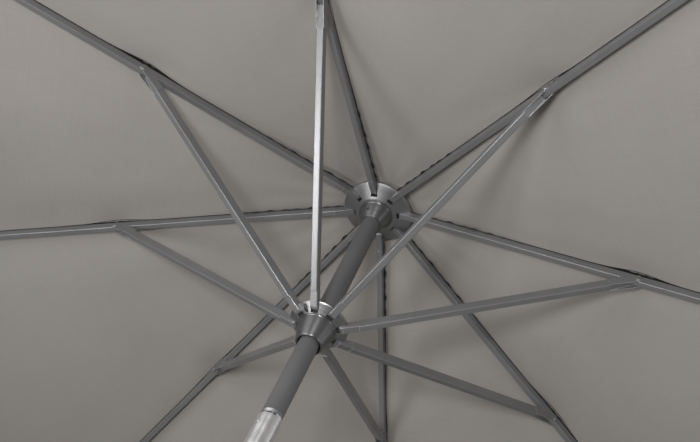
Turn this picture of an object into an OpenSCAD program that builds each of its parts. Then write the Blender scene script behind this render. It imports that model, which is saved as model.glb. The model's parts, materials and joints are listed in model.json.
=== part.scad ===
// Centre-pole tilting garden parasol, open and upright. Millimetres.
// Origin: centre of the pole's lower end. +Z runs up the pole. +X lies along the tilt hinge pin.

/* [Canopy] */
// Horizontal distance from the pole's axis to a canopy corner
canopy_r = 1550; // [1300:10:1700]
// Angle of the open ribs below the horizontal, degrees
rib_drop = 16; // [12:0.5:20]
// Thickness of the fabric
fabric_t = 1.0; // [0.6:0.1:1.5]
// Gap between two neighbouring fabric sectors
sector_gap = 1.0; // [0.5:0.5:2]

/* [Heights] */
// Height of the point where the rib centrelines meet the axis
hub_z = 2380; // [2200:10:2500]
// Height of the tilt hinge below that point
tilt_drop = 807; // [790:1:830]
// Height of the strut pivots on the open runner below that point
runner_drop = 487; // [480:1:495]

/* [Pole] */
// Outer diameter of the mast and pole tubes
mast_d = 48; // [46:0.5:48]
// Wall thickness of the mast and pole tubes
mast_t = 1.6; // [1.2:0.2:2]
// Outer diameter of the bright knuckle tube
knuckle_d = 53; // [52:0.5:53]
// Height at which the lower and the bottom pole sections meet
pole_split_z = 700; // [600:10:760]

/* [Ribs and struts] */
// Width of a rib
rib_w = 15; // [13:0.5:15]
// Height of a rib
rib_h = 22; // [20:0.5:22]
// Wall thickness of ribs and struts
rib_t = 1.3; // [1:0.1:1.6]
// Width of a strut
strut_w = 16; // [12:0.5:16]
// Height of a strut
strut_h = 23; // [18:0.5:23]
// Distance along a rib from its crown pivot to the strut bolt
bolt_x = 645; // [640:1:650]
// Diameter of the pivot pins and bolts
pin_d = 6; // [5:0.5:6]

/* [Hidden] */
$fn = 64;

// colours
tube_grey = [0.36, 0.36, 0.37];
dark = [0.25, 0.25, 0.26];
cloth = [0.55, 0.53, 0.50];
chrome = [0.85, 0.85, 0.87];
cast_grey = [0.6, 0.6, 0.62];
hub_grey = [0.45, 0.45, 0.46];
fork_grey = [0.42, 0.42, 0.43];
bush_black = [0.12, 0.12, 0.12];
button_black = [0.1, 0.1, 0.1];

// radii and fits
mast_r = mast_d / 2;
mast_bore = mast_r - mast_t;
knuckle_r = knuckle_d / 2;
pin_r = pin_d / 2;
run = 0.05;                       // radial clearance of a running fit
snug = 0.02;                      // radial clearance of a fixed pin
button_r = 5;                     // pole and tilt buttons
corner_r = 1.5;                   // corners of the solid bars
bore_r = 0.8;                     // corners of a hollow bar's bore and of its plugs

// rib pivots in the crown
sectors = 8;
pitch = 360 / sectors;
crown_r = 70;
crown_z = -crown_r * tan(rib_drop);
rib_len = (canopy_r - crown_r) / cos(rib_drop);

// strut bolt, radial plane, relative to the hub point
bolt_dz = -5;                     // offset of the bolt from the rib's centreline
bolt_r = crown_r + bolt_x * cos(rib_drop) + bolt_dz * sin(rib_drop);
bolt_z = crown_z - bolt_x * sin(rib_drop) + bolt_dz * cos(rib_drop);

// strut, from its bolt to its pivot on the runner
runner_r = 60;                    // radius of the pivots on the runner
strut_len = norm([bolt_r - runner_r, bolt_z + runner_drop]);
strut_rise = atan2(bolt_z + runner_drop, bolt_r - runner_r);
strut_off = 9.5;                  // the strut's axis passes this far above its bolt
strut_lean = asin(strut_off / strut_len);

// heights
tilt_z = hub_z - tilt_drop;
runner_z = hub_z - runner_drop;
pole_top = -32;                   // top of the lower pole, from the tilt hinge
tilt_button_z = -18;              // tilt button, from the tilt hinge
mast_foot = 26;                   // lower end of the mast tube, from the tilt hinge
pole_button_z = pole_split_z - 55;
runner_button_z = -3;             // runner's button, from the strut pivots

// ---------- helpers ----------

function rib_angle(rib) = pitch / 2 + pitch * (rib - 1);

module lift(z) { translate([0, 0, z]) children(); }

// turns +Z to +Y, at height z
module to_y(z) { lift(z) rotate([-90, 0, 0]) children(); }

// turns +Z to point outwards at an angle round the pole, at height z
module outwards(angle, z) { lift(z) rotate([0, 0, angle]) rotate([0, 90, 0]) children(); }

module at_ribs() {
  for (rib = [1:sectors]) rotate([0, 0, rib_angle(rib)]) children();
}

module x_rod(radius, length) {
  rotate([0, 90, 0]) cylinder(r = radius, h = length, center = true);
}

module y_rod(radius, length, x = 0, z = 0) {
  translate([x, 0, z]) rotate([90, 0, 0]) cylinder(r = radius, h = length, center = true);
}

module ring(outer, inner, height) {
  difference() {
    cylinder(r = outer, h = height);
    lift(-1) cylinder(r = inner, h = height + 2);
  }
}

// a turned part from an outline of [radius, z]
module turned(outline, sides = 96) { rotate_extrude($fn = sides) polygon(outline); }

// a rectangle with rounded corners
module rounded(width, height, corner) {
  square([width - 2 * corner, height], center = true);
  square([width, height - 2 * corner], center = true);
  for (x = [-1, 1], y = [-1, 1])
    translate([x * (width / 2 - corner), y * (height / 2 - corner)]) circle(r = corner, $fn = 20);
}

// extrudes a [Y, Z] section along +X, from x0 to x1
module along_x(x0, x1) {
  translate([x0, 0, 0]) rotate([90, 0, 90]) linear_extrude(x1 - x0) children();
}

module bar(x0, x1, width, height, corner = corner_r) {
  along_x(x0, x1) rounded(width, height, corner);
}

module box_tube(x0, x1, width, height) {
  along_x(x0, x1) difference() {
    rounded(width, height, 2);
    rounded(width - 2 * rib_t, height - 2 * rib_t, bore_r);
  }
}

// a bar that fits inside a box_tube of this width and height
module plug(x0, x1, width, height) {
  play = 0.2;
  bar(x0, x1, width - 2 * rib_t - play, height - 2 * rib_t - play, bore_r);
}

// a plate centred on y, from an outline of [x, z]
module side_plate(y, thickness, outline) {
  rotate([90, 0, 0]) lift(-y - thickness / 2) linear_extrude(thickness) polygon(outline);
}

// the frame of a rib: origin on its crown pivot, +X out along the rib
module rib_frame(rib) {
  rotate([0, 0, rib_angle(rib)]) translate([crown_r, 0, hub_z + crown_z])
    rotate([0, rib_drop, 0]) children();
}

// the frame of a strut: origin on its bolt, +X in towards the runner, +Z towards the rib
module strut_frame(rib) {
  rotate([0, 0, rib_angle(rib)]) translate([bolt_r, 0, hub_z + bolt_z])
    rotate([0, 180 - strut_rise, 0]) rotate([180, 0, 0]) children();
}

// within the strut's frame: +X along the centreline of its tube
module strut_axis() { lift(strut_off) rotate([0, strut_lean, 0]) children(); }

// a coil spring along +Z, starting at the origin
module coil(radius, wire, length, turns) {
  steps = 16;                     // per turn
  sides = 6;                      // of the wire's section
  n = round(turns * steps);
  points = [for (i = [0:n], j = [0:sides - 1])
    let (turn = 360 * i / steps, side = 360 * j / sides, reach = radius + wire * cos(side))
    [reach * cos(turn), reach * sin(turn),
      wire + (length - 2 * wire) * i / n + wire * sin(side)]];
  faces = concat(
    [[for (j = [0:sides - 1]) j]],
    [for (i = [0:n - 1], j = [0:sides - 1]) let (k = (j + 1) % sides)
      [i * sides + j, (i + 1) * sides + j, (i + 1) * sides + k, i * sides + k]],
    [[for (j = [sides - 1:-1:0]) n * sides + j]]);
  polyhedron(points = points, faces = faces);
}

// ---------- pole ----------

foot_top = 3.9;

// tube with a narrower spigot that reaches down into the bottom section
module lower_pole() {
  spigot_r = mast_bore - 0.2;
  spigot_len = 110;
  color(dark) difference() {
    union() {
      lift(pole_split_z) cylinder(r = mast_r, h = tilt_z + pole_top - pole_split_z);
      lift(pole_split_z - spigot_len) cylinder(r = spigot_r, h = spigot_len + 2);
    }
    lift(pole_split_z + 6) cylinder(r = mast_bore, h = 2000);
    lift(pole_split_z - spigot_len - 1) cylinder(r = spigot_r - mast_t - 0.2, h = 130);
    to_y(pole_button_z) cylinder(r = button_r + run, h = 60);
  }
}

module bottom_pole() {
  color(dark) difference() {
    lift(foot_top + 0.1) ring(mast_r, mast_bore, pole_split_z - 6);
    to_y(pole_button_z) cylinder(r = button_r + 0.2, h = 60);
  }
}

// bevelled end cap with a hollow plug inside the bottom section
module pole_foot() {
  bevel = 1.5;
  color("dimgray") {
    cylinder(r1 = mast_r - bevel, r2 = mast_r, h = bevel);
    lift(bevel) cylinder(r = mast_r, h = foot_top - bevel);
    lift(foot_top) difference() {
      cylinder(r = mast_bore - 0.1, h = 34);
      lift(2) cylinder(r = mast_bore - 3, h = 40);
    }
  }
}

// spring button that locks the two pole sections, pointing along +Y
module pole_button() {
  color(chrome) to_y(pole_button_z) difference() {
    union() {
      lift(mast_r - 9) cylinder(r = button_r, h = 8.1);
      lift(mast_r - 0.9) cylinder(r1 = button_r, r2 = 3.6, h = 0.8);
      lift(mast_r - 11) cylinder(r = 7, h = 2.4);
    }
    lift(mast_r - 12) cylinder(r = 2.5, h = 8);
  }
}

// bright tube with two ears for the hinge pin and an arched mouth on the -Y side
module knuckle_tube() {
  base = -125;
  bevel = 2;
  socket = -130;
  color(chrome) lift(tilt_z) difference() {
    union() {
      lift(base) cylinder(r = knuckle_r, h = 17 - base);
      lift(base - bevel) cylinder(r1 = knuckle_r - 1.2, r2 = knuckle_r, h = bevel);
    }
    // socket for the lower pole, then the bore above it and the hole in its floor
    lift(socket) cylinder(r = mast_r + run, h = pole_top - socket);
    lift(pole_top + 1) cylinder(r = knuckle_r - 1.9, h = 60);
    lift(pole_top - 1) cylinder(r = mast_r - 3, h = 10);
    // mouth on the -Y side, and the cut-away on the +Y side
    translate([0, -30, 20]) x_rod(20, 80);
    translate([-40, 10, 10]) cube([80, 40, 20]);
    x_rod(pin_r + snug, 80);
    to_y(tilt_button_z) cylinder(r = button_r + run, h = 60);
  }
}

// hinge pin with flush ends, so that the runner can pass over it
module knuckle_pin() {
  color(chrome) lift(tilt_z) difference() {
    x_rod(pin_r, knuckle_d + 0.2);
    for (side = [-1, 1])
      rotate([0, side * 90, 0]) lift(knuckle_r - 1.2) cylinder(r = 1.6, h = 3);
  }
}

tilt_button_back = knuckle_r - 4.2;

// release button of the tilt lock, on the +Y side of the knuckle
module tilt_button() {
  color(chrome) to_y(tilt_z + tilt_button_z) difference() {
    lift(tilt_button_back) cylinder(r = button_r, h = 3.8);
    lift(knuckle_r - 1.2) cylinder(r = 3, h = 2);
  }
}

module tilt_button_spring() {
  color("silver") translate([0, tilt_button_back - 0.1, tilt_z + tilt_button_z])
    rotate([90, 0, 0]) coil(radius = 2.4, wire = 0.3, length = 2.6, turns = 2);
}

// ---------- upper mast ----------

module mast_tube() {
  top_gap = 1.2;                  // below the hub point
  color(dark) lift(tilt_z + mast_foot) ring(mast_r, mast_bore, tilt_drop - mast_foot - top_gap);
}

// cast plug in the mast's foot, with the tongue that the hinge pin passes through
module mast_tongue() {
  tongue_w = 28;
  color(cast_grey) lift(tilt_z) difference() {
    union() {
      lift(24.4) cylinder(r = mast_r, h = 1.5);
      lift(25) cylinder(r = mast_bore - 0.05, h = 50);
      translate([-tongue_w / 2, -tongue_w / 2, 0]) cube([tongue_w, tongue_w, 24]);
      x_rod(15.5, tongue_w);
      lift(20.4) cylinder(r1 = 18, r2 = mast_r, h = 4);
    }
    x_rod(pin_r + run, 80);
    lift(40) cylinder(r = 14, h = 40);
  }
}

// ---------- crown ----------

crown_bore = mast_r + run;
stud_r = 4;                       // the finial's stud
crown_pin_len = 32;
crown_screw_angle = 97;
crown_screw_z = -57;              // from the hub point

// [radius, z from the hub point]
hub_outline = [
  [crown_bore, -34], [46, -34], [50, -33.6], [88, -18.6], [91.5, -16.8], [92.5, -15],
  [92.5, -12.5], [91, -11], [74, -1], [60, 4], [stud_r + run, 5], [stud_r + run, -1],
  [crown_bore, -1]];
collar_outline = [
  [crown_bore, -34.1], [43.5, -34.1], [45, -35], [45, -38], [43.5, -39.2], [40.5, -50],
  [35, -64], [31, -72], [29.5, -75.5], [28.5, -77], [crown_bore, -77]];
// [radius, z from the knob's underside]
finial_outline = [
  [0, 0], [38, 0], [38, 2.2], [30, 5], [17, 7.5], [12, 10], [10.5, 14], [12.5, 18],
  [17, 23], [19, 29], [18, 35], [14, 40.5], [8, 44], [0, 45]];

module crown_hub() {
  slot_w = rib_w + 1.8;
  color(hub_grey) lift(hub_z) difference() {
    turned(hub_outline);
    at_ribs() {
      translate([56, -slot_w / 2, -50]) cube([60, slot_w, 46]);
      y_rod(pin_r + snug, crown_pin_len + 1, crown_r, crown_z);
    }
  }
}

module crown_collar() {
  color(dark) lift(hub_z) difference() {
    turned(collar_outline);
    outwards(crown_screw_angle, crown_screw_z) lift(20) cylinder(r = 4, h = 40);
  }
}

module crown_pins() {
  color("silver") lift(hub_z) at_ribs() y_rod(pin_r, crown_pin_len, crown_r, crown_z);
}

// hex-socket screw in the collar
module crown_screw() {
  color("dimgray") outwards(crown_screw_angle, hub_z + crown_screw_z) difference() {
    lift(mast_r + 0.1) cylinder(r = 3.95, h = 6);
    lift(mast_r + 3) cylinder(r = 2.3, h = 5, $fn = 6);
  }
}

// turned knob that clamps the top of the canopy on the crown
module finial() {
  color(dark) lift(hub_z) {
    lift(-14) cylinder(r = stud_r, h = 24);
    lift(7.8) turned(finial_outline, 72);
  }
}

// ---------- runner ----------

bush_r = 29;
runner_bore = bush_r + run;

// [radius, z from the strut pivots]
fan_outline = [
  [runner_bore, -9], [46.5, -9], [69.5, 3.5], [71, 5], [71, 8], [69, 10], [60, 17],
  [46, 20.5], [44, 24], [34, 25], [runner_bore, 25]];
cone_outline = [
  [runner_bore, -9.1], [46, -9.1], [47, -10], [47, -13], [45.5, -14.4], [43.5, -26],
  [38.5, -46], [34, -62], [32.8, -65.5], [31.5, -67], [runner_bore, -67]];

// slotted ring that holds the struts' inner ends
module runner_fan() {
  slot_w = 18.6;
  color(cast_grey) lift(runner_z) difference() {
    turned(fan_outline);
    at_ribs() translate([46.6, -slot_w / 2, -20]) cube([60, slot_w, 60]);
    outwards(90, runner_button_z) lift(20) cylinder(r = 5.2, h = 60);
  }
}

module runner_cone() { color(dark) lift(runner_z) turned(cone_outline); }

// lining of the runner, with a rim on top
module runner_bush() {
  color(bush_black) lift(runner_z) difference() {
    union() {
      lift(-66) cylinder(r = bush_r, h = 91);
      lift(25.1) cylinder(r = 31.5, h = 2.4);
      lift(25) cylinder(r = bush_r, h = 1);
    }
    lift(-70) cylinder(r = 27.2, h = 110);
    outwards(90, runner_button_z) lift(20) cylinder(r = 3.2, h = 30);
  }
}

// release button inside the opening in the runner's sloping face
module runner_button() {
  color(button_black) outwards(90, runner_z + runner_button_z) {
    lift(37) cylinder(r = 4.9, h = 11);
    lift(31.6) cylinder(r = 3, h = 5.5);
  }
}

module runner_button_spring() {
  color("silver") outwards(90, runner_z + runner_button_z)
    lift(29.6) coil(radius = 4.1, wire = 0.45, length = 7, turns = 3.5);
}

// ---------- ribs ----------

rib_root = 46;                    // length of the root fitting outside the tube
rib_tube_end = rib_len - 34;

module rib_tube(rib) {
  color(tube_grey) rib_frame(rib) difference() {
    box_tube(rib_root + 0.2, rib_tube_end, rib_w, rib_h);
    y_rod(pin_r + run, 40, bolt_x, bolt_dz);
  }
}

// root fitting with the crown pivot
module rib_root_fitting() {
  root_w = rib_w + 0.6;
  root_h = 22;
  difference() {
    union() {
      y_rod(root_h / 2, root_w);
      bar(0, rib_root, root_w, root_h);
      plug(rib_root - 1, rib_root + 30, rib_w, rib_h);
    }
    y_rod(pin_r + run, 40);
  }
}

// tip cap that the canopy's corner pocket holds
module rib_tip_cap() {
  plug(rib_len - 60, rib_tube_end + 1, rib_w, rib_h);
  bar(rib_tube_end + 0.1, rib_len - 18, rib_w + 1, rib_h + 1, 3);
  translate([rib_len - 18.2, 0, -2]) rotate([0, 90, 0]) cylinder(r1 = 7, r2 = 4.5, h = 9);
}

module rib_ends(rib) {
  color(dark) rib_frame(rib) {
    rib_root_fitting();
    rib_tip_cap();
  }
}

// ---------- struts ----------

fork_end = 66;                    // where the outer fork meets the strut's tube
strut_tube_end = strut_len - 38;

// [x, z] in the strut's frame
cheek_outline = [
  [-7.5, -7], [-8.5, -6], [-8.5, 12.5], [-7.5, 13.6], [20, 18.2], [40, 19.5],
  [fork_end, 20.8], [fork_end, -2.4], [48, -3.4], [20, -6.4], [6, -7]];
web_outline = [
  [15.5, 4.3], [24, 11.8], [33.5, 19.9], [36, 20.5], [fork_end, 20.5], [fork_end, -1.9],
  [48, 0.2]];

module strut_tube(rib) {
  color(tube_grey) strut_frame(rib) strut_axis()
    box_tube(fork_end + 0.2, strut_tube_end, strut_w, strut_h);
}

// outer fork: two cheeks that straddle the rib, joined by a web
module strut_fork() {
  difference() {
    union() {
      for (side = [-1, 1]) side_plate(side * 8.55, 1.5, cheek_outline);
      side_plate(0, 16.8, web_outline);
      strut_axis() plug(fork_end - 2, fork_end + 30, strut_w, strut_h);
    }
    y_rod(pin_r + snug, 40);
  }
}

// bolt: shank with a domed head at each end
module strut_bolt() {
  rim = 1.2;
  y_rod(pin_r, 19.2);
  for (side = [-1, 1]) rotate([side * 90, 0, 0]) lift(9.4) {
    cylinder(r = 5, h = rim);
    lift(rim) cylinder(r1 = 5, r2 = 3, h = 1.6);
  }
}

// inner tongue with its pin
module strut_tongue() {
  difference() {
    union() {
      strut_axis() {
        plug(strut_len - 70, strut_tube_end + 1, strut_w, strut_h);
        bar(strut_tube_end + 0.2, strut_len, 17.4, 19);
      }
      y_rod(8.6, 17.6, strut_len);
    }
    y_rod(pin_r + snug, 40, strut_len);
  }
  y_rod(pin_r, 18.2, strut_len);
}

module strut_ends(rib) {
  color(fork_grey) strut_frame(rib) {
    strut_fork();
    strut_bolt();
    strut_tongue();
  }
}

// ---------- fabric ----------

cloth_flat_r = 96;                // the fabric is level within this radius
cloth_flat_z = 6.2;
cloth_line_r = 450;               // and runs parallel to the ribs beyond this one
cloth_rows = [9, 40, cloth_flat_r, cloth_line_r, 1000, canopy_r];

// height of the fabric's underside over a rib, relative to the hub point
function cloth_line(radius) = -radius * tan(rib_drop) + rib_h / 2 / cos(rib_drop) + 1.2;
function cloth_z(radius) =
  radius < cloth_flat_r ? cloth_flat_z :
  radius < cloth_line_r ? cloth_flat_z + (cloth_line(cloth_line_r) - cloth_flat_z)
    * (radius - cloth_flat_r) / (cloth_line_r - cloth_flat_r) :
  cloth_line(radius);

// underside point on the sector's edge, half a gap short of mid-gore; side is -1 or 1
function cloth_edge(radius, side) =
  let (half = pitch / 2, gap = sector_gap / 2, reach = radius * cos(half))
  [reach * cos(half) + gap * sin(half), side * (reach * sin(half) - gap * cos(half)),
    hub_z + cloth_z(radius)];

// one eighth of the canopy, from mid-gore to mid-gore, carried by one rib
module canopy(rib) {
  n = len(cloth_rows);
  lower = [for (radius = cloth_rows) each [
    cloth_edge(radius, -1), [radius, 0, hub_z + cloth_z(radius)], cloth_edge(radius, 1)]];
  upper = [for (point = lower) point + [0, 0, fabric_t / cos(rib_drop)]];
  m = len(lower);
  faces = concat(
    // underside and top
    [for (i = [0:n - 2], j = [0:1]) let (k = 3 * i + j) each [
      [k, k + 1, k + 4], [k, k + 4, k + 3],
      [m + k, m + k + 4, m + k + 1], [m + k, m + k + 3, m + k + 4]]],
    // the two mid-gore edges
    [for (i = [0:n - 2]) let (k = 3 * i) each [
      [k, k + 3, m + k + 3], [k, m + k + 3, m + k],
      [k + 2, m + k + 5, k + 5], [k + 2, m + k + 2, m + k + 5]]],
    // the inner and the outer edge
    [for (j = [0:1]) each [
      [j, m + j, m + j + 1], [j, m + j + 1, j + 1],
      [m - 3 + j, 2 * m - 2 + j, 2 * m - 3 + j], [m - 3 + j, m - 2 + j, 2 * m - 2 + j]]]);
  color(cloth) rotate([0, 0, rib_angle(rib)])
    polyhedron(points = concat(lower, upper), faces = faces);
}

lower_pole();
bottom_pole();
pole_foot();
knuckle_tube();
knuckle_pin();
pole_button();
tilt_button();
tilt_button_spring();
mast_tube();
mast_tongue();
crown_hub();
crown_collar();
crown_pins();
crown_screw();
finial();
runner_fan();
runner_cone();
runner_bush();
runner_button();
runner_button_spring();
rib_tube(1);  // rib_1_tube
rib_ends(1);  // rib_1_ends
strut_tube(1);  // strut_1_tube
strut_ends(1);  // strut_1_ends
canopy(1);  // canopy_1
rib_tube(2);  // rib_2_tube
rib_ends(2);  // rib_2_ends
strut_tube(2);  // strut_2_tube
strut_ends(2);  // strut_2_ends
canopy(2);  // canopy_2
rib_tube(3);  // rib_3_tube
rib_ends(3);  // rib_3_ends
strut_tube(3);  // strut_3_tube
strut_ends(3);  // strut_3_ends
canopy(3);  // canopy_3
rib_tube(4);  // rib_4_tube
rib_ends(4);  // rib_4_ends
strut_tube(4);  // strut_4_tube
strut_ends(4);  // strut_4_ends
canopy(4);  // canopy_4
rib_tube(5);  // rib_5_tube
rib_ends(5);  // rib_5_ends
strut_tube(5);  // strut_5_tube
strut_ends(5);  // strut_5_ends
canopy(5);  // canopy_5
rib_tube(6);  // rib_6_tube
rib_ends(6);  // rib_6_ends
strut_tube(6);  // strut_6_tube
strut_ends(6);  // strut_6_ends
canopy(6);  // canopy_6
rib_tube(7);  // rib_7_tube
rib_ends(7);  // rib_7_ends
strut_tube(7);  // strut_7_tube
strut_ends(7);  // strut_7_ends
canopy(7);  // canopy_7
rib_tube(8);  // rib_8_tube
rib_ends(8);  // rib_8_ends
strut_tube(8);  // strut_8_tube
strut_ends(8);  // strut_8_ends
canopy(8);  // canopy_8
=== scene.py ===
"""A parasol with eight ribs: finishes for its CAD pieces, its fabric canopy, and a studio.

Metres, +Z up. The mast stands on the Z axis with its foot at the floor. Rib 1 points 22.5
degrees from +X towards +Y, and the others follow counterclockwise seen from above.
"""
import json
import math

import bpy
from mathutils import Matrix, Vector


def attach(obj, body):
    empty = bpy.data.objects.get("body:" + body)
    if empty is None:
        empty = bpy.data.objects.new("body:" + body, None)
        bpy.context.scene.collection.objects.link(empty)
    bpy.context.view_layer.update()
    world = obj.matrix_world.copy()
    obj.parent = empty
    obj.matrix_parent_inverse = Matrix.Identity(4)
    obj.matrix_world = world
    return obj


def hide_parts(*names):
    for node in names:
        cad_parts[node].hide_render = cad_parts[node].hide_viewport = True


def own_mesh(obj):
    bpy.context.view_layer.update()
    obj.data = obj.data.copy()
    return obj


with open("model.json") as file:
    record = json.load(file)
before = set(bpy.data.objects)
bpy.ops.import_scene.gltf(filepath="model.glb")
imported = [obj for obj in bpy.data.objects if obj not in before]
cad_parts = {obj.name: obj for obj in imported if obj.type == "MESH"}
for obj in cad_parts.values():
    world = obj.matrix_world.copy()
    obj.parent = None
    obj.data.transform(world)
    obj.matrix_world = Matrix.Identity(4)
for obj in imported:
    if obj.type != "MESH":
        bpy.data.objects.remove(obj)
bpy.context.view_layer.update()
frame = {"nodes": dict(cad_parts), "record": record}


# ---------------------------------------------------------------- driving dimensions
RIBS = 8
HUB_Z = 2.380
CORNER_R = 1.550        # canopy corner, measured from the axis along a rib
SPLIT_R = 0.440         # the inner and outer band of a sector meet here
BOLT_R = 0.6886         # strut bolts
CLOTH = 0.00104         # thickness of the sheet, measured along Z

HALF_GORE = math.radians(180 / RIBS)
SIN_GORE, COS_GORE = math.sin(HALF_GORE), math.cos(HALF_GORE)

SLOPE = math.radians(16.0)
FALL = math.tan(SLOPE)                  # drop of a rib per metre of radius
RIB_TOP = 0.011 / math.cos(SLOPE)       # top face above the rib's middle line, along Z

CLAMP_R, CLAMP_Z = 0.096, 0.0062        # flat middle of the sheet, above the hub point
RIB_GAP = 0.0012                        # between the rib's top face and the sheet
BEND_R, BEND_LENGTH = 0.450, 0.022      # where the sheet turns steeper towards the hub
BEND_SLOPE = 0.05956                    # and the slope it gains there


# ---------------------------------------------------------------- shader helpers
class Nodes:
    """Node tree of a material or world. An input takes a plain value or another node's output."""

    def __init__(self, owner):
        owner.use_nodes = True
        self.tree = owner.node_tree
        self.tree.nodes.clear()

    def fill(self, node, inputs):
        for socket, value in inputs.items():
            if isinstance(value, bpy.types.NodeSocket):
                self.tree.links.new(value, node.inputs[socket])
            else:
                node.inputs[socket].default_value = value

    def make(self, kind, inputs=None, **props):
        node = self.tree.nodes.new("ShaderNode" + kind)
        for prop, value in props.items():
            setattr(node, prop, value)
        self.fill(node, inputs or {})
        return node


class Material(Nodes):
    """A material with one principled surface."""

    def __init__(self, name):
        self.block = bpy.data.materials.new(name)
        super().__init__(self.block)
        self.bsdf = self.make("BsdfPrincipled")
        self.output = self.make("OutputMaterial", {"Surface": self.bsdf.outputs[0]})

    def surface(self, inputs):
        self.fill(self.bsdf, inputs)

    def coords(self, scale=(1, 1, 1)):
        place = self.make("TexCoord").outputs["Object"]
        return self.mapping(place, scale)

    def mapping(self, place, scale):
        return self.make("Mapping", {"Vector": place, "Scale": scale}).outputs[0]

    def uv_axes(self, uv_map):
        uv = self.make("UVMap", uv_map=uv_map).outputs[0]
        return uv, self.make("SeparateXYZ", {0: uv}).outputs

    def noise(self, place, scale, detail=3.0, rough=0.6):
        inputs = {"Vector": place, "Scale": scale, "Detail": detail, "Roughness": rough}
        return self.make("TexNoise", inputs).outputs[0]

    def arith(self, operation, *terms, **props):
        inputs = dict(enumerate(terms))
        return self.make("Math", inputs, operation=operation, **props).outputs[0]

    def weighted(self, first, first_weight, second, second_weight):
        rest = self.arith("MULTIPLY", second, second_weight)
        return self.arith("MULTIPLY_ADD", first, first_weight, rest)

    def wave(self, value, pitch):
        return self.arith("SINE", self.arith("MULTIPLY", value, 2 * math.pi / pitch))

    def remap(self, value, low, high, to_low, to_high, **props):
        inputs = {"Value": value, "From Min": low, "From Max": high,
                  "To Min": to_low, "To Max": to_high}
        return self.make("MapRange", inputs, **props).outputs[0]

    def ramp(self, value, low, high, dark, light):
        """colour from dark to light as value goes from low to high"""
        ramp = self.make("ValToRGB", {0: value})
        for element, stop, color in zip(ramp.color_ramp.elements, (low, high), (dark, light)):
            element.position = stop
            element.color = (*color, 1)
        return ramp.outputs[0]

    def tones(self, value, color, darker, lighter, low=0.3, high=0.7):
        return self.ramp(value, low, high, shade(color, darker), shade(color, lighter))

    def mix(self, factor, a, b, **props):
        inputs = {0: factor, "A": a, "B": b}
        return self.make("Mix", inputs, data_type="RGBA", **props).outputs["Result"]

    def rounded(self, edge):
        """normal with edges softened over the given radius"""
        return self.make("Bevel", {"Radius": edge}, samples=4).outputs[0]

    def bump(self, height, strength, distance, normal=None):
        inputs = {"Height": height, "Strength": strength, "Distance": distance}
        if normal is not None:
            inputs["Normal"] = normal
        return self.make("Bump", inputs).outputs[0]

    def grooves(self, amount):
        """reflections stretched across fine grooves that run round Z"""
        tangent = self.make("Tangent", direction_type="RADIAL", axis="Z").outputs[0]
        self.surface({"Tangent": tangent, "Anisotropic": amount, "Anisotropic Rotation": 0.25})


def shade(color, factor):
    return tuple(min(1.0, channel * factor) for channel in color)


# ---------------------------------------------------------------- finishes
def powder_coat(name, color, rough, grain, edge, bumpiness, edge_highlight, highlight_shade,
                metallic=0.0, specular=0.5):
    """baked paint: fine orange peel, faint cloudy tone, edges painted lighter in patches as a painted
    highlight
    """
    mat = Material(name)
    place = mat.coords()
    cloud = mat.noise(place, scale=5.0, detail=4.0)
    speck = mat.noise(place, scale=grain, detail=2.0)
    base = mat.tones(cloud, color, darker=0.9, lighter=1.1)
    # where the softened edge turns away from the true face, the colour is painted lighter in patches:
    # a painted edge highlight
    rounded = mat.rounded(edge)
    true_face = mat.make("NewGeometry").outputs["Normal"]
    facing = mat.make("VectorMath", {0: rounded, 1: true_face}, operation="DOT_PRODUCT")
    edge_lit = mat.remap(facing.outputs["Value"], low=0.985, high=0.80, to_low=0.0, to_high=edge_highlight)
    highlight_patches = mat.noise(place, scale=60.0)
    painted_highlight = mat.arith("MULTIPLY", edge_lit, highlight_patches, use_clamp=True)
    mat.surface({
        "Base Color": mat.mix(painted_highlight, base, (*shade(color, highlight_shade), 1)),
        "Roughness": mat.remap(speck, low=0.3, high=0.7, to_low=rough - 0.05, to_high=rough + 0.06),
        "Normal": mat.bump(speck, strength=bumpiness, distance=0.0002, normal=rounded),
        "Metallic": metallic,
        "Specular IOR Level": specular,
    })
    return mat.block


def turned_metal(name, color, rough, metallic, spread, stretch):
    """turned on a lathe round Z: fine rings, slight tone streaks along them"""
    mat = Material(name)
    place = mat.coords()
    streak = mat.noise(mat.coords(scale=(3.0, 3.0, 900.0)), scale=1.0, detail=2.0, rough=0.5)
    cloud = mat.noise(place, scale=9.0)
    tone = mat.weighted(streak, 0.55, cloud, 0.45)
    rings = mat.make("TexWave", {"Vector": place, "Scale": 130.0, "Distortion": 0.4},
                     wave_type="BANDS", bands_direction="Z").outputs["Fac"]
    height = mat.arith("ADD", rings, streak)
    mat.surface({
        "Base Color": mat.tones(tone, color, 1 - spread, 1 + spread, low=0.35, high=0.65),
        "Roughness": mat.remap(streak, low=0.3, high=0.7,
                               to_low=rough - 0.06, to_high=rough + 0.08),
        "Normal": mat.bump(height, strength=0.03, distance=0.00006, normal=mat.rounded(0.0008)),
        "Metallic": metallic,
    })
    mat.grooves(stretch)
    return mat.block


def moulded_plastic(name, color, rough):
    """fine cellular grain and a faint cloudy tone"""
    mat = Material(name)
    place = mat.coords()
    grain = mat.make("TexVoronoi", {"Vector": place, "Scale": 1800.0}).outputs["Distance"]
    cloud = mat.noise(place, scale=14.0)
    mat.surface({
        "Base Color": mat.tones(cloud, color, darker=1 - 0.08, lighter=1 + 0.08),
        "Roughness": mat.remap(cloud, low=0.3, high=0.7, to_low=rough - 0.05, to_high=rough + 0.05),
        "Normal": mat.bump(grain, strength=0.15, distance=0.00015, normal=mat.rounded(0.0007)),
    })
    return mat.block


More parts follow.
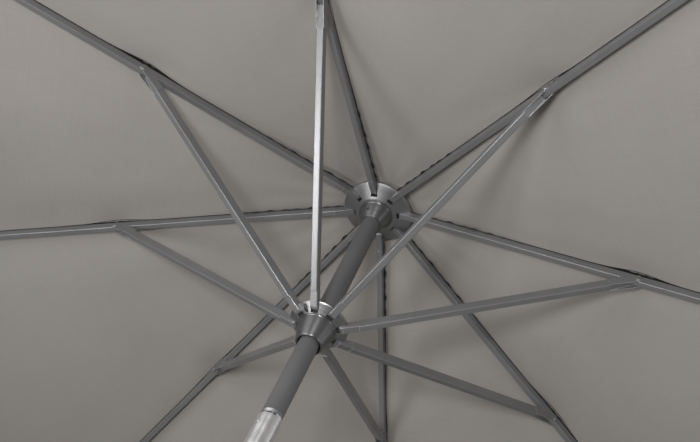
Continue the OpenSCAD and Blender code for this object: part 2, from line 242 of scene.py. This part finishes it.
def bright_tube(name, dark, light):
    """bright-plated steel, a little dull and pitted"""
    mat = Material(name)
    place = mat.coords()
    haze = mat.noise(place, scale=38.0, detail=5.0, rough=0.65)
    pits = mat.noise(place, scale=420.0, detail=2.0)
    mat.surface({
        "Base Color": mat.ramp(haze, low=0.35, high=0.70, dark=dark, light=light),
        "Roughness": mat.remap(haze, low=0.3, high=0.75, to_low=0.30, to_high=0.38),
        "Normal": mat.bump(pits, strength=0.12, distance=0.0001, normal=mat.rounded(0.0006)),
        "Metallic": 0.86,
    })
    mat.grooves(0.90)
    return mat.block


def raw_metal(name, color, rough, grain=300.0):
    mat = Material(name)
    place = mat.coords()
    speck = mat.noise(place, scale=grain, detail=4.0)
    cloud = mat.noise(place, scale=25.0)
    mat.surface({
        "Base Color": mat.tones(cloud, color, darker=0.85, lighter=1.1),
        "Roughness": mat.remap(speck, low=0.3, high=0.7, to_low=rough - 0.08, to_high=rough + 0.1),
        "Normal": mat.bump(speck, strength=0.25, distance=0.0002, normal=mat.rounded(0.0005)),
        "Metallic": 1.0,
    })
    return mat.block


def stitch_rows(mat, offset):
    """two rows of dashed thread, offset from the middle of the "Strip" map (U along, V across)"""
    _, (along, across, _) = mat.uv_axes("Strip")
    from_row = mat.arith("ABSOLUTE", mat.arith("SUBTRACT", mat.arith("ABSOLUTE", across), offset))
    row = mat.remap(from_row, low=0.00035, high=0.0008, to_low=1.0, to_high=0.0)
    dash = mat.remap(mat.wave(along, pitch=0.0038), low=-0.5, high=-0.1, to_low=0.0, to_high=1.0)
    return mat.arith("MULTIPLY", row, dash, use_clamp=True)


def woven(name, color, pitch=0.0013, rough=0.85, sheen=0.25, stitch_offset=None):
    """plain weave from the UV map, which is in metres along warp and weft"""
    mat = Material(name)
    uv, (along, across, _) = mat.uv_axes("UVMap")
    warp = mat.wave(along, pitch)
    weft = mat.wave(across, pitch)
    # warp is up where the product is positive, weft where it is negative
    over = mat.arith("MULTIPLY", warp, weft)
    threads = mat.arith("ADD", mat.arith("ABSOLUTE", warp), mat.arith("ABSOLUTE", weft))
    height = mat.weighted(over, 0.35, threads, 0.4)
    # slubs: long thin tone streaks along both thread directions
    slubs = [mat.noise(mat.mapping(uv, scale), scale=1.0, detail=2.0, rough=0.5)
             for scale in ((9, 620, 1), (620, 9, 1))]
    cloud = mat.noise(mat.coords(), scale=2.2, rough=0.55)
    tone = mat.weighted(mat.arith("ADD", *slubs), 0.30, cloud, 0.40)
    base = mat.tones(tone, color, darker=0.93, lighter=1.07, low=0.38, high=0.62)
    # painted shade in the low spots of the weave and painted light on the thread tops
    painted_weave_shade = mat.remap(height, low=0.0, high=1.0, to_low=0.90, to_high=1.05)
    base = mat.mix(1.0, base, painted_weave_shade, blend_type="MULTIPLY")
    normal = mat.bump(height, strength=0.35, distance=0.00025)
    if stitch_offset:
        thread = stitch_rows(mat, stitch_offset)
        base = mat.mix(thread, base, (*shade(color, 0.62), 1))
        normal = mat.bump(thread, strength=0.8, distance=0.0004, normal=normal)
    mat.surface({
        "Base Color": base,
        "Roughness": rough,
        "Specular IOR Level": 0.25,
        "Sheen Weight": sheen,
        "Sheen Roughness": 0.6,
        "Normal": normal,
    })
    return mat.block


FABRIC_COLOR = (0.318, 0.296, 0.276)

# material name: what makes it, and its settings
FINISHES = {
    # in the three paints, the edge settings paint the edges lighter: a painted edge highlight
    "mast_paint": (powder_coat, dict(
        color=(0.123, 0.123, 0.126), rough=0.42, grain=520.0, edge=0.0009, bumpiness=0.16,
        edge_highlight=0.45, highlight_shade=2.0)),
    "rib_paint": (powder_coat, dict(
        color=(0.245, 0.246, 0.252), rough=0.33, grain=800.0, edge=0.0016, bumpiness=0.05,
        edge_highlight=1.6, highlight_shade=3.0, metallic=0.5, specular=0.6)),
    "rib_fitting": (powder_coat, dict(
        color=(0.225, 0.226, 0.231), rough=0.36, grain=900.0, edge=0.0012, bumpiness=0.05,
        edge_highlight=1.2, highlight_shade=2.6, metallic=0.45, specular=0.6)),
    "hub_metal": (turned_metal, dict(
        color=(0.34, 0.34, 0.345), rough=0.36, metallic=0.96, spread=0.05, stretch=0.35)),
    "collar_metal": (turned_metal, dict(
        color=(0.215, 0.215, 0.219), rough=0.36, metallic=0.85, spread=0.03, stretch=0.88)),
    "bright_metal": (bright_tube, dict(dark=(0.74, 0.74, 0.75), light=(0.93, 0.93, 0.94))),
    "steel": (raw_metal, dict(color=(0.52, 0.52, 0.53), rough=0.32)),
    "cast_metal": (raw_metal, dict(color=(0.40, 0.40, 0.41), rough=0.48, grain=900.0)),
    "black_plastic": (moulded_plastic, dict(color=(0.022, 0.022, 0.023), rough=0.46)),
    "canopy_fabric": (woven, dict(color=FABRIC_COLOR)),
    "canopy_seam": (woven, dict(color=shade(FABRIC_COLOR, 0.93), stitch_offset=0.0045)),
    # near-black: painted shade in the gap between each rib and the sheet
    "canopy_binding": (woven, dict(color=(0.018, 0.018, 0.018), pitch=0.0016, rough=0.9,
                                   sheen=0.0)),
    "steel_blackened": (raw_metal, dict(color=(0.030, 0.030, 0.031), rough=0.55)),
}
materials = {name: build(name, **settings) for name, (build, settings) in FINISHES.items()}


def dress_cad_pieces():
    slot_of = {part["node"]: part["material_slot"] for part in frame["record"]["subparts"]}
    for name, piece in frame["nodes"].items():
        if name.startswith("strut_"):
            finish = "rib_paint"
        elif name == "crown_screw":
            finish = "steel_blackened"
        else:
            finish = slot_of[name]
        if not piece.material_slots:
            piece.data.materials.append(materials[finish])
        for slot in piece.material_slots:
            slot.material = materials[finish]


dress_cad_pieces()


# ---------------------------------------------------------------- the canopy's shape
def rib_angle(rib):
    return HALF_GORE + 2 * HALF_GORE * (rib - 1)


def smooth(start, stop, x):
    x = max(0.0, min(1.0, (x - start) / (stop - start)))
    return x * x * (3 - 2 * x)


def bell(x, middle, width):
    return math.exp(-((x - middle) / width) ** 2)


def rib_line_z(r):
    """underside of the sheet over a rib, above the hub point"""
    if r <= CLAMP_R:
        return CLAMP_Z
    bend = BEND_LENGTH * math.log1p(math.exp((BEND_R - r) / BEND_LENGTH))
    return min(-r * FALL + (RIB_TOP + RIB_GAP) + BEND_SLOPE * bend, CLAMP_Z)


def ripple(x, y):
    """slow unevenness of the hung sheet, the same for both sides of every seam"""
    # heights in millimetres, waves in radians per metre
    return 0.001 * (2.1 * math.sin(5.3 * x + 1.1) * math.sin(4.1 * y + 0.4)
                    + 1.5 * math.sin(8.7 * x - 3.4 * y + 2.1)
                    + 1.2 * math.sin(3.6 * x + 9.3 * y + 0.6)
                    + 0.6 * math.sin(17.0 * x + 6.0 * y) * math.sin(14.0 * y - 5.0 * x + 1.0))


def sheet(rib, r, w):
    """A point of the sheet's underside.

    r is the distance from the axis along the rib; w runs from -1 on one neighbouring gore's
    middle line, through 0 on the rib, to 1 on the other middle line.
    """
    u = abs(w)
    slack = 1 - (1 - u) ** 2        # 0 on the rib, 1 on the middle line, level there
    # the hem is cut in a shallow curve between the corners
    cut_r = r * (1 - 0.010 * slack * smooth(0.55, CORNER_R, r))
    along = cut_r * (1 - u * SIN_GORE * SIN_GORE)
    side = w * cut_r * COS_GORE * SIN_GORE
    cos, sin = math.cos(rib_angle(rib)), math.sin(rib_angle(rib))
    x, y = along * cos - side * sin, along * sin + side * cos

    sag = -0.0150 * slack * smooth(0.10, 1.05, r)
    # low folds run from the hub out into the gore
    folds = (0.0011 * math.sin(9.0 * u + 5.0 * r + 2.3 * rib)
             * slack * (1 - slack) * 4 * smooth(0.2, 0.6, r))
    # the fork lifts the cloth over each bolt
    lift = 0.0115 * bell(r, BOLT_R + 0.004, 0.062) * bell(abs(side), 0.0, 0.050)
    # the clamped middle gathers it slightly, three waves to a gore
    gather = (0.0010 * math.sin(RIBS * (rib_angle(rib) + w * HALF_GORE) * 3)
              * smooth(0.10, 0.16, r) * (1 - smooth(0.22, 0.5, r)) * slack)
    uneven = ripple(x, y) * slack * smooth(0.15, 0.7, r)
    return x, y, HUB_Z + rib_line_z(cut_r) + (sag + folds + lift + gather + uneven)


def sheet_beside(rib, r, side):
    """the same, at a sideways distance from the rib"""
    return sheet(rib, r, side / (r * COS_GORE * SIN_GORE))


def sheet_normal(rib, r, w):
    """upward normal, the same on both sides of every line where two pieces meet"""
    r_step, w_step = 0.0015, 0.004
    outward = Vector(sheet(rib, r + r_step, w)) - Vector(sheet(rib, r - r_step, w))
    sideways = Vector(sheet(rib, r, w + w_step)) - Vector(sheet(rib, r, w - w_step))
    normal = outward.cross(sideways).normalized()
    return normal if normal.z > 0 else -normal


# ---------------------------------------------------------------- mesh helpers
def stations(start, stop, steps):
    return [start + (stop - start) * i / steps for i in range(steps + 1)]


def add_mesh(name, verts, faces):
    mesh = bpy.data.meshes.new(name)
    mesh.from_pydata(verts, [], faces)
    piece = bpy.data.objects.new(name, mesh)
    bpy.context.scene.collection.objects.link(piece)
    return piece


def grid_solid(name, top, bottom, uv, maps=("UVMap",), normal=None):
    """A closed shell between two grids of points.

    uv(row, column, face column) fills each of the maps; normal(row, column) gives the upward
    normal of the two broad sides.
    """
    rows, cols = len(top), len(top[0])
    count = rows * cols

    def low(i, j):
        return i * cols + j

    def high(i, j):
        return count + i * cols + j

    faces, face_cols = [], []
    for i in range(rows - 1):
        for j in range(cols - 1):
            faces.append((low(i, j), low(i, j + 1), low(i + 1, j + 1), low(i + 1, j)))
            faces.append((high(i, j), high(i + 1, j), high(i + 1, j + 1), high(i, j + 1)))
            face_cols += [j, j]
    broad = len(faces)
    last_row, last = rows - 1, cols - 1
    for i in range(rows - 1):
        faces.append((low(i, 0), low(i + 1, 0), high(i + 1, 0), high(i, 0)))
        faces.append((low(i, last), high(i, last), high(i + 1, last), low(i + 1, last)))
        face_cols += [0, cols - 2]
    for j in range(cols - 1):
        faces.append((low(0, j), high(0, j), high(0, j + 1), low(0, j + 1)))
        faces.append((low(last_row, j), low(last_row, j + 1),
                      high(last_row, j + 1), high(last_row, j)))
        face_cols += [j, j]

    verts = [point for grid in (bottom, top) for row in grid for point in row]
    piece = add_mesh(name, verts, faces)
    mesh = piece.data
    for map_name in maps:
        layer = mesh.uv_layers.new(name=map_name)
        for face in mesh.polygons:
            for loop in face.loop_indices:
                i, j = divmod(mesh.loops[loop].vertex_index % count, cols)
                layer.data[loop].uv = uv(i, j, face_cols[face.index])
    for face in mesh.polygons:
        face.use_smooth = face.index < broad
    mesh.update()
    if normal:
        upward = [normal(*divmod(v, cols)) for v in range(count)]
        loop_normals = []
        for face in mesh.polygons:
            for loop in face.loop_indices:
                if face.index >= broad:
                    loop_normals.append(face.normal.copy())
                else:
                    up = upward[mesh.loops[loop].vertex_index % count]
                    loop_normals.append(up if face.normal.dot(up) > 0 else -up)
        mesh.normals_split_custom_set(loop_normals)
    return piece


def finish_piece(piece, body, material):
    piece.data.materials.append(materials[material])
    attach(piece, body)


# ---------------------------------------------------------------- sheet sectors
INNER_RADII = stations(0.060, SPLIT_R, 22)
# close rows at the hem, where the sheet is turned up and sewn
OUTER_RADII = [r for r in stations(SPLIT_R, CORNER_R, 54) if r < CORNER_R - 0.030]
OUTER_RADII += [CORNER_R - inset for inset in (0.0275, 0.0262, 0.012, 0.0015, 0.0)]
HEM_WIDTH, HEM_DEPTH = 0.0270, 0.0009
RIM_WIDTH, RIM_THINNING = 0.001, 0.0004     # the outermost row is thinned on both sides


def sector(rib, name, radii, half_cols):
    """a band of the sheet over one rib, from middle line to middle line"""
    across = [-1 + j / half_cols for j in range(2 * half_cols + 1)]
    low, high = [], []
    for r in radii:
        hem = HEM_DEPTH if r > CORNER_R - HEM_WIDTH else 0.0
        rim = RIM_THINNING if r > CORNER_R - RIM_WIDTH else 0.0
        points = [sheet(rib, r, w) for w in across]
        low.append([(x, y, z - hem + rim) for x, y, z in points])
        high.append([(x, y, z + CLOTH - rim) for x, y, z in points])

    def uv(i, j, face_col):
        """along and across the middle line of the gore the face belongs to"""
        x, y, _ = high[i][j]
        gore = rib_angle(rib) + (HALF_GORE if face_col >= half_cols else -HALF_GORE)
        return (x * math.cos(gore) + y * math.sin(gore),
                -x * math.sin(gore) + y * math.cos(gore))

    piece = grid_solid(name, high, low, uv,
                       normal=lambda i, j: sheet_normal(rib, radii[i], across[j]))
    finish_piece(piece, f"rib_{rib}", "canopy_fabric")
    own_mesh(piece)
    return piece


# ---------------------------------------------------------------- seam bands
SEAM_START, SEAM_END, SEAM_STEP = 0.1135, 1.5465, 0.012
SEAM_HALF_WIDTH, SEAM_THICK, SEAM_GAP = 0.0068, 0.00075, 0.00005
SEAM_ACROSS = [-1 + 2 * j / 6 for j in range(7)]


def seam(rib):
    """a stitched band on top of the sheet along the rib, with rolled edges"""
    radii = stations(SEAM_START, SEAM_END, round((SEAM_END - SEAM_START) / SEAM_STEP))
    low, high = [], []
    for r in radii:
        low_row, high_row = [], []
        for q in SEAM_ACROSS:
            x, y, z = sheet_beside(rib, r, q * SEAM_HALF_WIDTH)
            z = z + CLOTH + SEAM_GAP
            thin = 0.7 * abs(q) ** 6
            low_row.append((x, y, z + 0.15 * thin * SEAM_THICK))
            high_row.append((x, y, z + SEAM_THICK * (1 - thin)))
        low.append(low_row)
        high.append(high_row)
    piece = grid_solid(f"canopy_seam_{rib}", high, low, maps=("UVMap", "Strip"),
                       uv=lambda i, j, _: (radii[i], SEAM_ACROSS[j] * SEAM_HALF_WIDTH))
    finish_piece(piece, f"rib_{rib}", "canopy_seam")


# ---------------------------------------------------------------- near-black strips along the ribs: painted shade
GAP_SHADE_START, GAP_SHADE_END, GAP_SHADE_STEP = 0.097, 1.455, 0.005
GAP_SHADE_THICK = 0.00045
GAP_SHADE_CLEARANCE = 0.0002           # to the rib near the crown, to the sheet further out
GAP_SHADE_FLAT = 0.0042          # half width of the flat middle
GAP_SHADE_V = [-0.0115, -0.0085, -0.0078, -0.0042, 0.0042, 0.0078, 0.0085, 0.0115]


def near_crown(r, fade_start, fade_end):
    return (1 - smooth(fade_start, fade_end, r)) * smooth(0.085, 0.12, r)


def gap_shade_half_width(rib, r):
    """scalloped near the crown, a little wider at the bolts"""
    scallops = math.sin(r * 173.0 + rib * 1.9) + 0.7 * math.sin(r * 111.0 + rib * 0.7)
    return (0.0086 + 0.0001 * math.sin(r * 40 + rib)
            + 0.0019 * near_crown(r, 0.26, 0.42) * max(0.0, 0.5 + scallops)
            + 0.0006 * bell(r, BOLT_R, 0.075))


def gap_shade_skirt(rib, r, side):
    """depth of the skirt on one side, ragged near the crown"""
    ragged = math.sin(r * 151.0 + rib * 2.3 + side) + 0.6 * math.sin(r * 263.0 + rib + 2 * side)
    return (0.0031 + 0.0003 * math.sin(r * 57.0 + rib + side)
            + 0.0009 * near_crown(r, 0.28, 0.46) * ragged)


def gap_shade_strip(rib):
    """a near-black strip under the seam, painted shade in the gap between rib and sheet: a shallow
    channel with skirts down both sides
    """
    radii = stations(GAP_SHADE_START, GAP_SHADE_END, round((GAP_SHADE_END - GAP_SHADE_START) / GAP_SHADE_STEP))
    outer, inner = [], []
    for r in radii:
        half = gap_shade_half_width(rib, r)
        # on the rib's top face near the crown, against the sheet further out
        on_rib = HUB_Z - r * FALL + RIB_TOP + GAP_SHADE_CLEARANCE + GAP_SHADE_THICK
        under_sheet = sheet(rib, r, 0.0)[2] - GAP_SHADE_CLEARANCE
        out = smooth(0.40, 0.50, r)
        top_z = on_rib * (1 - out) + under_sheet * out
        outer_row, inner_row = [], []
        for side in (-1, 1):
            skirt = gap_shade_skirt(rib, r, side)
            # outer offset and height, inner offset and height, from the skirt to the middle
            profile = [
                (half, -skirt, half - GAP_SHADE_THICK, -skirt),
                (half, -0.0009, half - GAP_SHADE_THICK, -0.0012),
                (half - 0.0007, -0.0001, half - GAP_SHADE_THICK - 0.0006, -GAP_SHADE_THICK),
                (GAP_SHADE_FLAT, 0.0, GAP_SHADE_FLAT, -GAP_SHADE_THICK),
            ]
            for outer_y, outer_z, inner_y, inner_z in profile[::-side]:
                for row, offset, dz in ((outer_row, outer_y, outer_z),
                                        (inner_row, inner_y, inner_z)):
                    x, y, _ = sheet_beside(rib, r, side * offset)
                    row.append((x, y, top_z + dz))
        outer.append(outer_row)
        inner.append(inner_row)
    piece = grid_solid(f"canopy_binding_{rib}", outer, inner,
                       uv=lambda i, j, _: (radii[i], GAP_SHADE_V[j]))
    finish_piece(piece, f"rib_{rib}", "canopy_binding")


# ---------------------------------------------------------------- rib tip pockets
# radius, half width, depth
POCKET_SECTIONS = [
    (1.462, 0.0128, 0.0268), (1.480, 0.0130, 0.0272), (1.500, 0.0130, 0.0272),
    (1.518, 0.0130, 0.0268), (1.530, 0.0126, 0.0250), (1.539, 0.0112, 0.0205),
    (1.5445, 0.0085, 0.0130), (1.5475, 0.0050, 0.0050),
]
POCKET_COLS, POCKET_THICK = 15, 0.0009
POCKET_SQUARENESS = 0.6     # exponent of the section's curve; 1 would be an ellipse


def pocket_row(rib, r, half_width, depth):
    row = []
    for j in range(POCKET_COLS):
        angle = math.pi * j / (POCKET_COLS - 1)
        cos = math.cos(angle)
        side = math.copysign(abs(cos) ** POCKET_SQUARENESS, cos)
        down = abs(math.sin(angle)) ** POCKET_SQUARENESS
        x, y, z = sheet_beside(rib, r, side * half_width)
        row.append((x, y, z + 0.0002 - down * depth))
    return row


def pocket(rib):
    """the pocket that holds the rib's tip: a trough under the sheet, closed at its outer end"""
    outer = [pocket_row(rib, *section) for section in POCKET_SECTIONS]
    inner = [pocket_row(rib, r, half_width - POCKET_THICK, depth - POCKET_THICK)
             for r, half_width, depth in POCKET_SECTIONS]
    piece = grid_solid(f"canopy_pocket_{rib}", inner, outer,
                       uv=lambda i, j, _: (POCKET_SECTIONS[i][0], 0.0045 * j))
    finish_piece(piece, f"rib_{rib}", "canopy_fabric")


# ---------------------------------------------------------------- crown patch
PATCH_COLS = 128
PATCH_RADII = [0.0092, 0.020, 0.0385, 0.050, 0.0585, 0.0605, 0.064, 0.072, 0.082, 0.090,
               0.096, 0.102, 0.107, 0.1105, 0.112]
PATCH_STITCH_R = 0.1025     # middle of the stitched ring


def crown_patch():
    """the round patch sewn over the middle, clamped under the finial"""
    low, high = [], []
    for r in PATCH_RADII:
        # steps up onto the sheet, whose inner edge is covered by the patch
        step = smooth(0.0575, 0.0625, r) * (CLOTH + 0.00012)
        rim = smooth(0.09, 0.112, r)
        thick = 0.0008 if r < 0.1115 else 0.0004
        for j in range(PATCH_COLS):
            angle = 2 * math.pi * j / PATCH_COLS
            # the rim is raised, most over the ribs
            z = HUB_Z + rib_line_z(r) + step
            z += 0.0006 * rim * math.cos(RIBS * (angle - HALF_GORE))
            z += 0.0009 * rim
            x, y = r * math.cos(angle), r * math.sin(angle)
            low.append((x, y, z))
            high.append((x, y, z + thick))
    count = len(low)
    last = count - PATCH_COLS
    ring = [(j, (j + 1) % PATCH_COLS) for j in range(PATCH_COLS)]
    faces = []
    for a in range(0, last, PATCH_COLS):
        b = a + PATCH_COLS
        for j, k in ring:
            faces.append((a + j, a + k, b + k, b + j))
            faces.append((count + a + j, count + b + j, count + b + k, count + a + k))
    for j, k in ring:
        faces.append((j, count + j, count + k, k))
        faces.append((last + j, last + k, count + last + k, count + last + j))
    piece = add_mesh("canopy_crown_patch", low + high, faces)
    mesh = piece.data
    for map_name, uv in (
            ("UVMap", lambda x, y: (x, y)),
            ("Strip", lambda x, y: (0.1 * math.atan2(y, x), math.hypot(x, y) - PATCH_STITCH_R))):
        layer = mesh.uv_layers.new(name=map_name)
        for loop in mesh.loops:
            x, y, _ = mesh.vertices[loop.vertex_index].co
            layer.data[loop.index].uv = uv(x, y)
    for face in mesh.polygons:
        face.use_smooth = True
    finish_piece(piece, "upper_mast", "canopy_seam")


for rib in range(1, RIBS + 1):
    sector(rib, f"canopy_inner_{rib}", INNER_RADII, half_cols=12)
    gore = sector(rib, f"canopy_gore_{rib}", OUTER_RADII, half_cols=20)
    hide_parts(f"canopy_{rib}")
    seam(rib)
    gap_shade_strip(rib)
    pocket(rib)
crown_patch()

# ---------------------------------------------------------------- floor and backdrop
FLOOR_HALF, FLOOR_Z = 60, -0.0005
BACKDROP = {"Color": (0.86, 0.86, 0.86, 1), "Strength": 0.95}


def floor_paint():
    mat = Material("floor_paint")
    place = mat.coords()
    cloud = mat.noise(place, scale=1.5, detail=4.0)
    seen = mat.ramp(cloud, low=0.3, high=0.7, dark=(0.66, 0.66, 0.65), light=(0.69, 0.69, 0.68))
    camera_ray = mat.make("LightPath").outputs["Is Camera Ray"]
    # darker to every other ray, so that it throws less light back up
    mat.surface({
        "Base Color": mat.mix(camera_ray, (0.25, 0.25, 0.245, 1), seen),
        "Roughness": 0.8,
        "Specular IOR Level": 0.2,
    })
    # the floor melts into the backdrop with distance, as a studio cove does
    away = mat.make("VectorMath", {0: place}, operation="LENGTH").outputs["Value"]
    fade = mat.remap(away, low=3.0, high=13.0, to_low=0.0, to_high=1.0,
                     interpolation_type="SMOOTHSTEP")
    cove = mat.make("Emission", BACKDROP).outputs[0]
    part = mat.arith("MULTIPLY", fade, camera_ray)
    blend = mat.make("MixShader", {0: part, 1: mat.bsdf.outputs[0], 2: cove})
    mat.fill(mat.output, {"Surface": blend.outputs[0]})
    return mat.block


corners = [(x * FLOOR_HALF, y * FLOOR_HALF, FLOOR_Z) for x, y in ((-1, -1), (1, -1), (1, 1), (-1, 1))]
floor = add_mesh("floor", corners, [(0, 1, 2, 3)])
floor.data.materials.append(floor_paint())


def studio_world():
    """the camera sees the backdrop; everything else is lit by a dimmer, warmer one"""
    world = bpy.data.worlds.new("studio")
    bpy.context.scene.world = world
    nodes = Nodes(world)
    seen = nodes.make("Background", BACKDROP).outputs[0]
    lit = nodes.make("Background", {"Color": (1.0, 0.985, 0.965, 1), "Strength": 0.36}).outputs[0]
    camera_ray = nodes.make("LightPath").outputs["Is Camera Ray"]
    pick = nodes.make("MixShader", {0: camera_ray, 1: lit, 2: seen}).outputs[0]
    nodes.make("OutputWorld", {"Surface": pick})


studio_world()

# ---------------------------------------------------------------- lights
# the low cards light the parasol, not the floor beside them
off_floor = bpy.data.collections.new("off_floor")
off_floor.objects.link(floor)
off_floor.collection_objects[0].light_linking.link_state = "EXCLUDE"


def area(name, at, to, size, power, size_y=None):
    light = bpy.data.lights.new(name, "AREA")
    light.energy = power
    light.shape = "RECTANGLE" if size_y else "SQUARE"
    light.size = size
    if size_y:
        light.size_y = size_y
    lamp = bpy.data.objects.new(name, light)
    bpy.context.scene.collection.objects.link(lamp)
    lamp.location = at
    lamp.rotation_mode = "QUATERNION"
    lamp.rotation_quaternion = (Vector(to) - Vector(at)).to_track_quat("-Z", "Y")
    lamp.visible_camera = False
    if name.endswith("_low"):
        lamp.light_linking.receiver_collection = off_floor


# a soft box beside the camera, which throws the struts' soft shadows on the sheet
area("key_low", at=(-1.05, 1.66, 0.22), to=(0.05, 0.1, 2.2), size=0.42, power=33.0)
# wide soft light from +Y: the sheet is brightest on this side and falls off away from it
area("wide_low", at=(0.7, 3.0, 0.7), to=(0.0, 0.0, 2.1), size=2.2, power=38.0)
# a card near the floor that lights the undersides of the struts
area("fill_low", at=(0.46, 1.12, 0.12), to=(-0.10, 0.30, 2.03), size=0.75, power=14.5, size_y=0.5)
# a narrow card on the -X side for thin edge lights
area("rim_low", at=(-2.1, -0.35, 0.9), to=(0.0, 0.0, 2.1), size=0.30, power=4.5, size_y=1.2)
area("top_soft", at=(1.8, -1.6, 5.6), to=(0, 0, 2.0), size=3.2, power=170.0)
area("side_soft", at=(-4.2, -2.6, 2.6), to=(0, 0, 1.6), size=2.2, power=45.0)

# ---------------------------------------------------------------- camera
CAMERA_AT = (-1.4138, 1.1735, 0.1182)
# the camera's own axes in the scene; it looks steeply up, against the last
CAMERA_RIGHT = (-0.8285, -0.4657, 0.3108)
CAMERA_UP = (-0.2303, 0.7894, 0.5689)
CAMERA_BACK = (-0.5103, 0.3997, -0.7614)

lens = bpy.data.cameras.new("camera")
camera = bpy.data.objects.new("camera", lens)
bpy.context.scene.collection.objects.link(camera)
camera.matrix_world = Matrix(((*CAMERA_RIGHT, 0), (*CAMERA_UP, 0), (*CAMERA_BACK, 0),
                              (*CAMERA_AT, 1))).transposed()
lens.sensor_width = 36.0        # millimetres, as is the focal length
lens.lens = 56.571429
lens.clip_start = 0.02
lens.clip_end = 80.0
bpy.context.scene.camera = camera
bpy.context.scene.view_settings.view_transform = "Standard"
